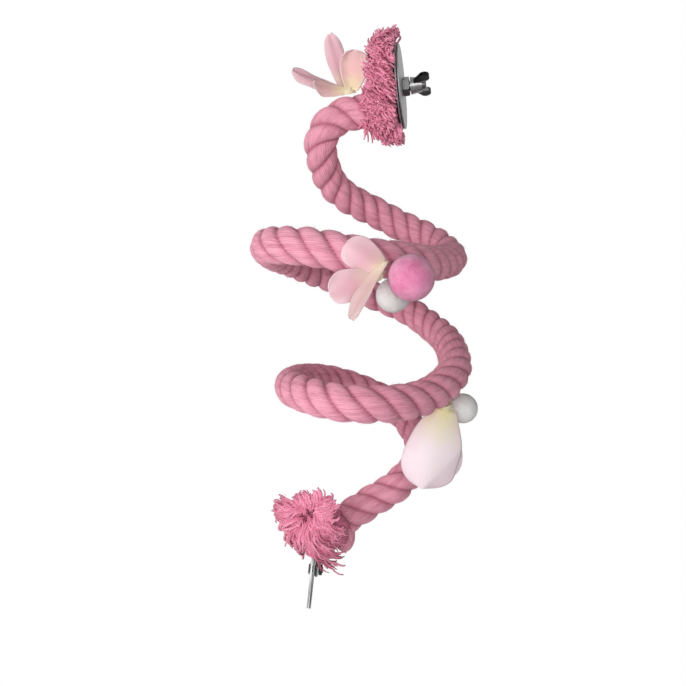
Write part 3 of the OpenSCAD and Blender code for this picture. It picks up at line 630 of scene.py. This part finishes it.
# Through the cotton's shader, the strand takes painted shade evenly at a quarter groove depth and in its
# ridges' dips.
held = {
    "groove": np.r_[np.full(ridge.size, 0.25), 0.3],
    "yarn": np.r_[ridge.ravel(), 0.5],
    "fibre": np.vstack([np.stack(strand_fibre, -1).reshape(-1, 3), [0, 0, 0.01]]),
}
last = (len(run) - 1) * strand_columns + np.arange(strand_columns)
tip = np.stack([np.full(strand_columns, ridge.size), last, np.roll(last, -1)], -1)
faces = [grid_quads(len(run), strand_columns, True), tip]
strand_end = mesh_piece("strand_end", points, faces, cotton, held)
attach(strand_end, "lower_end")
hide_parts("lower_strand_end")


# The clamps: large dull zinc washers on each side of the cage wire.
# The upper pair is closed by a grey hex nut and a wing nut on a bolt, the lower pair by a slotted screw.
# The wing nut's wings are painted near black: painted shade, from the near wing's shadow.
def plated(name, low, high, rough, wings=None):
    """Dull plating: a cloudy grey between two colours, rougher where it is paler.

    With wings, it takes that colour, painted shade, further than 5.6 mm from the upper bolt's axis n: the
    square of that distance is p.p - (p.n)^2."""
    boss_r = 0.0056
    made, start, shader = finish(name, Metallic=1.0)
    cloud = start.noise(420.0, 5.0)
    fine = start.noise(5200.0, 2.0)
    grey = (cloud * 0.8 + fine * 0.2).tint(low, high)
    if wings:
        p = start.node("ShaderNodeTexCoord", {}, {}, 3)
        dot = lambda a, b: start.node("ShaderNodeVectorMath", {"operation": "DOT_PRODUCT"}, {0: a, 1: b}, 1)
        out = dot(p, p) - dot(p, upper_axes[:, 2]) ** 2.0
        grey = ((out - boss_r**2) * 2e5).kept().tint(grey, wings)
    grey.into(shader, "Base Color")
    (cloud * 0.2 + rough).into(shader, "Roughness")
    fine.bump(0.12, 0.0001).into(shader, "Normal")
    return made


# Painted shade: both wings take the near wing's shadowed black.
wing_painted_shade = (0.012, 0.012, 0.013, 1)
zinc = plated("washer_zinc", (0.22, 0.222, 0.222, 1), (0.36, 0.352, 0.356, 1), 0.42)
# Lit and shaded copies of the zinc: the lower outer washer is paler, a painted highlight, the inner darker,
# painted shade.
zinc_painted_highlight = plated("washer_painted_highlight", (0.42, 0.425, 0.42, 1), (0.58, 0.585, 0.57, 1), 0.40)
zinc_painted_shade = plated("washer_dark", (0.13, 0.132, 0.132, 1), (0.22, 0.222, 0.222, 1), 0.45)
bright = plated("nut_bright", (0.04, 0.04, 0.041, 1), (0.15, 0.15, 0.152, 1), 0.20)
winged = plated("nut_with_painted_shade_wings", (0.07, 0.07, 0.071, 1), (0.28, 0.28, 0.284, 1), 0.20, wing_painted_shade)
# The lower nut is plated near black: painted shade under the mop, where the upper hex nut is grey.
black = plated("nut_dark", (0.006, 0.006, 0.007, 1), (0.060, 0.060, 0.063, 1), 0.16)
for node, made in (
    ("upper_inner_washer", zinc),
    ("upper_outer_washer", zinc),
    ("upper_bolt", bright),
    ("upper_hex_nut", bright),
    ("upper_wing_nut", winged),
    ("lower_inner_washer", zinc_painted_shade),
    ("lower_outer_washer", zinc_painted_highlight),
    ("lower_screw", bright),
    ("lower_nut", black),
):
    coat(node, made)


# The flowers: stiffened woven petals, pink at the edges and yellow at the root, set in a dome of glue.
# A petal widens from its root to a blunt round tip, bows along its length and cups across its width.
set_glue, start, shader = finish("glue", Roughness=0.4)
start.noise(500.0).tint((0.80, 0.72, 0.45, 1), (0.90, 0.84, 0.60, 1)).into(shader, "Base Color")
for node in ("upper_flower_dome", "middle_flower_dome", "lower_flower_dome"):
    coat(node, set_glue)


def rope_seat(i, t, out):
    """The place 0.3 mm above the rope's skin at t on stretch i, on the side that out gives."""
    seat_gap = 0.0003
    before, here, after = bends(route, [t - 0.01, t, t + 0.01])[i]
    heading = unit(after - before)
    out = np.array(out, float)
    return here + (rope_r + seat_gap) * unit(out - (out @ heading) * heading)


def petal_cloth(name, root, body, rim):
    """Woven cloth, dyed from its root colour to its body colour and its rim colour, with veins along it."""
    made, start, shader = finish(
        name, Roughness=0.8, Sheen_Weight=0.1, Subsurface_Weight=0.4, Subsurface_Scale=0.001
    )
    t, x = start.point("t"), start.point("x")
    blotch = start.noise(160.0, 2.0)
    vein = start.math("ABSOLUTE", start.math("SINE", x * 15.0 + start.noise(120.0) * 5.0))
    dyed = (t * 2.3 + blotch * 0.5 - 0.35).kept().tint(root, body)
    edge = ((x * x * 0.6 + t**3.0 * 0.6) * (0.5 + blotch) + (vein - 0.6) * 0.05).kept()
    edge.tint(dyed, rim).into(shader, "Base Color")
    (vein * 0.25 + start.noise(3600.0) * 0.7).bump(0.2, 0.0003).into(shader, "Normal")
    return made


def petal(name, body, seat, root, aim, length, side, width, bow, cup, made, fold=1.0):
    """A petal's sheet, 0.6 mm thick, as one closed mesh; sizes in millimetres.

    At t along it and x across it, it is root + t L aim + x w side + (4 bow t (1-t) + cup v x^2 + ripple -
    folds) normal. The half width w is v W / 2, with v = (0.42 + 0.58 sin(pi/2 min(1, t/0.62)))
    sqrt(1 - 0.96 c^3), and c = (t - 0.62) / 0.38 over 0. The folds turn back one corner, by
    fold (x + 1.6 t - 1.6) over 0, and the other side, by fold (-x - 0.5) over 0."""
    rows, columns, half_thick = 45, 27, 0.0003
    broadest, root_share, tip_fall = 0.62, 0.42, 0.96
    root, length, width = 0.001 * np.array(root, float), 0.001 * length, 0.001 * width
    bow, cup, fold = 0.001 * bow, 0.001 * cup, 0.001 * fold
    t = 1 - (1 - np.linspace(0, 1, rows)) ** 1.5
    t, x = np.meshgrid(t, np.linspace(-1, 1, columns), indexing="ij")
    aim = unit(np.array(aim, float))
    side = np.array(side, float)
    side = unit(side - (side @ aim) * aim)
    normal = np.cross(aim, side)
    opening = np.sin(np.pi / 2 * (t / broadest).clip(0, 1))
    closing = ((t - broadest) / (1 - broadest)).clip(0)
    v = (root_share + (1 - root_share) * opening) * np.sqrt(1 - tip_fall * closing**3)
    wave = np.sin(13 * t + 2 * x + 900 * length)
    ripple = 0.0007 * t * x * x * wave + 0.0004 * t * np.sin(5 * x + 600 * width)
    folds = fold * ((x + 1.6 * t - 1.6).clip(0) + (-x - 0.5).clip(0))
    lift = 4 * bow * t * (1 - t) + cup * v * x * x + ripple - folds
    half = v * width / 2 * (0.985 + 0.035 * wave * np.abs(x) * t)
    sheet = seat + root + (t * length)[..., None] * aim
    sheet = sheet + (x * half)[..., None] * side + lift[..., None] * normal
    face = unit(np.cross(np.gradient(sheet, axis=0), np.gradient(sheet, axis=1)))
    k = np.arange(rows * columns).reshape(rows, columns)
    rim = np.r_[k[0, :-1], k[:-1, -1], k[-1, :0:-1], k[:0:-1, 0]]
    wall = np.stack([rim, np.roll(rim, -1), np.roll(rim, -1) + k.size, rim + k.size], -1)
    flat = grid_quads(rows, columns, False)
    points = np.concatenate([sheet + half_thick * face, sheet - half_thick * face])
    held = {"t": np.concatenate([t, t]), "x": np.concatenate([x, x])}
    piece = mesh_piece(name, points, [flat[:, ::-1], flat + k.size, wall], made, held)
    dome = name.split("_")[0] + "_flower_dome"
    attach(piece, body)
    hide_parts(name)


def flower(name, body, seat, petals):
    """A flower's petals: for each its root, aim, length, side, width, bow, cup, cloth and any fold."""
    for k, sizes in enumerate(petals):
        petal(f"{name}_petal_{k + 1}", body, seat, *sizes)


mauve = petal_cloth("petal_mauve", (0.86, 0.70, 0.54, 1), (0.79, 0.44, 0.51, 1), (0.85, 0.61, 0.65, 1))
peach = petal_cloth("petal_peach", (0.92, 0.84, 0.50, 1), (0.90, 0.58, 0.56, 1), (0.88, 0.66, 0.66, 1))
# A darker copy of the peach cloth: painted shade on the middle flower's third petal.
peach_painted_shade = petal_cloth("petal_peach", (0.80, 0.70, 0.52, 1), (0.66, 0.44, 0.43, 1), (0.68, 0.50, 0.50, 1))
white = petal_cloth("petal_white", (0.93, 0.86, 0.50, 1), (0.96, 0.83, 0.86, 1), (0.94, 0.72, 0.79, 1))
flower("upper", "upper_end", rope_seat(0, 0.8, [-0.2, -0.2, 1]), (
    ([-2, 2, 2.5], [-10, 5, 35], 37, [0.96, 0, 0.28], 12, 2, 1.5, mauve),
    ([-3.5, -1, 2.8], [-31, -4, 10], 33.3, [0.25, 0.5, 0.8], 10.2, 2, 1.5, mauve),
    ([-2, -3, 2], [-18, -10, 1], 22.2, [0.2, 0.5, 0.85], 10.8, 2, 1.5, peach),
    ([2, -3, 1.8], [2, -7, 20], 22.94, [0.95, 0.1, -0.3], 18, 4, -2, peach),
))
flower("middle", "first_turn", rope_seat(8, 0.16, [0.2, -0.7, -0.7]), (
    ([4, -2.4, 1.6], [-20, -5, 13], 25, [0.5, -0.1, 0.85], 18, -2, 2, mauve),
    ([-2, -3, -2], [-23, -6, -8], 25, [-0.3, -0.2, 0.9], 18, -2, 2, mauve),
    ([5, -4.2, 6], [-19, -10, -30], 36.25, [0.5, -0.8, -0.3], 10.44, 1.5, 1, peach_painted_shade),
))
flower("lower", "second_turn", rope_seat(14, 0.7, [0.2, 0.1, -1]), (
    ([0, -3, -2.6], [-13, -5, -49], 50, [0.95, 0, -0.25], 35, 4, -4, white, 4.0),
    ([-3.5, 2, -2.4], [-18, 6, -42], 45, [0.8, 0.4, -0.4], 17.5, -2, 2, white),
    ([1, 0.5, -2.6], [4, 3, -45], 45, [0.95, 0.1, 0.1], 17.5, -2, 2, white),
))


# The pompoms: balls of fine cut yarn, tied in the middle, clipped round and glued to the rope by the flowers.
# Each is a dense pile of yarn ends with a few thousand finer fibres that all reach the ball's round.
def pompom(name, body, low, high, seed):
    """A core of 0.96 to 0.98 of the ball's radius under fine fibres, which leave it outwards.

    The fibres' roots lie even on a golden spiral, at 0.95 of the radius."""
    core_share, core_lumps, root_share = 0.97, 0.012, 0.95
    count, fibre_thick, fibre_curl = 3000, 0.00009, 0.2
    made, start, shader = finish(
        f"{name}_yarn", Roughness=0.95, Sheen_Weight=0.4, Subsurface_Weight=0.5, Subsurface_Scale=0.003
    )
    pile = start.noise(1000.0) * 0.6 + start.noise(3000.0) * 0.4
    (start.noise(170.0, 2.0) * 1.3 + pile * 0.7 - 0.5).kept().tint(low, high).into(shader, "Base Color")
    pile.bump(0.8, 0.0012).into(shader, "Normal")
    small, large = (np.array(v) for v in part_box(name))
    middle, r = (small + large) / 2, (large - small).max() / 2
    k = np.arange(count) + 0.5
    z, a = 1 - 2 * k / count, np.pi * (1 + 5**0.5) * k
    out = np.stack([np.sqrt(1 - z * z) * np.cos(a), np.sqrt(1 - z * z) * np.sin(a), z], 1)
    lean = unit(out + 0.35 * seed.normal(size=(count, 3)))
    length = r * seed.uniform(0.03, 0.065, count)
    root = middle + root_share * r * out
    ends = hairs(f"{name}_ends", root, lean, length, fibre_thick, made, seed, fibre_curl, out)
    lumps = np.sin(ball_points * np.array([7, 8, 9]) + np.array([1, 0, 2])).prod(1, keepdims=True)
    core = middle + (core_share + core_lumps * lumps) * r * ball_points
    core = mesh_piece(f"{name}_core", core, ball_faces, made)
    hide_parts(name)
    for piece in (core, ends):
        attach(piece, body)


for name, body, low, high, number in (
    ("pink_pompom", "first_turn", (0.70, 0.13, 0.32, 1), (0.98, 0.40, 0.61, 1), 21),
    ("middle_white_pompom", "first_turn", (0.93, 0.86, 0.85, 1), (0.98, 0.95, 0.93, 1), 22),
    ("lower_white_pompom", "second_turn", (0.93, 0.91, 0.88, 1), (0.98, 0.97, 0.95, 1), 23),
):
    pompom(name, body, low, high, np.random.default_rng(number))


# The studio: a white room with a pale floor, a soft lamp low on the left, a broad one in front and a weak one
# behind. The camera stands at the photograph's place: in front, level with the first turn, looking 8 degrees
# down.
def white_where_seen(start):
    """1 for rays from the camera, off metal or through glass, and 0 for the rest."""
    kinds = ("Is Camera Ray", "Is Glossy Ray", "Is Transmission Ray")
    seen, glossy, through = (start.node("ShaderNodeLightPath", {}, {}, kind) for kind in kinds)
    return (seen + glossy + through).kept()


wide, low = 4, -0.48
floor_mesh = bpy.data.meshes.new("floor")
corners = [(-wide, -wide, low), (wide, -wide, low), (wide, wide, low), (-wide, wide, low)]
floor_mesh.from_pydata(corners, [], [(0, 1, 2, 3)])
floor = bpy.data.objects.new("floor", floor_mesh)
bpy.context.scene.collection.objects.link(floor)
pale, start, shader = finish("floor", Base_Color=(0.8, 0.8, 0.8, 1), Roughness=0.9)
glow = start.node("ShaderNodeEmission", {}, {"Color": (1, 1, 1, 1), "Strength": 1.0})
lit = Value(pale.node_tree, shader.outputs[0])
both = start.node("ShaderNodeMixShader", {}, {0: white_where_seen(start), 1: lit, 2: glow})
pale.node_tree.links.new(both.socket, pale.node_tree.nodes["Material Output"].inputs[0])
floor_mesh.materials.append(pale)

room = bpy.data.worlds.new("room")
room.use_nodes = True
bpy.context.scene.world = room
sky = room.node_tree.nodes["Background"]
sky.inputs["Color"].default_value = (1, 1, 1, 1)
(white_where_seen(Value(room.node_tree)) * 0.86 + 0.14).into(sky, "Strength")
aim = np.array([-0.03, 0, -0.15])
for name, spot, power, size in (
    ("key", (-0.40, -0.33, -0.10), 1.5, 0.35),
    ("front", (-0.03, -0.95, 0.0), 4.0, 0.5),
    ("back", (-0.5, 0.8, 0.1), 2.0, 0.6),
):
    light = bpy.data.lights.new(name, "AREA")
    light.energy = power
    light.size = size
    lamp = bpy.data.objects.new(name, light)
    bpy.context.scene.collection.objects.link(lamp)
    lamp.location = spot
    away = unit(np.array(spot) - aim)
    lamp.rotation_euler = (float(np.arccos(away[2])), 0, float(np.arctan2(away[1], away[0]) + np.pi / 2))

view = bpy.data.cameras.new("photo_camera")
view.lens = 35.0
view.sensor_width = 36.0
camera = bpy.data.objects.new("photo_camera", view)
bpy.context.scene.collection.objects.link(camera)
camera.location = (-0.0356, -0.4327, -0.0997)
camera.rotation_euler = (np.radians(82.0), 0, 0)
bpy.context.scene.camera = camera
bpy.context.scene.view_settings.view_transform = "Standard"
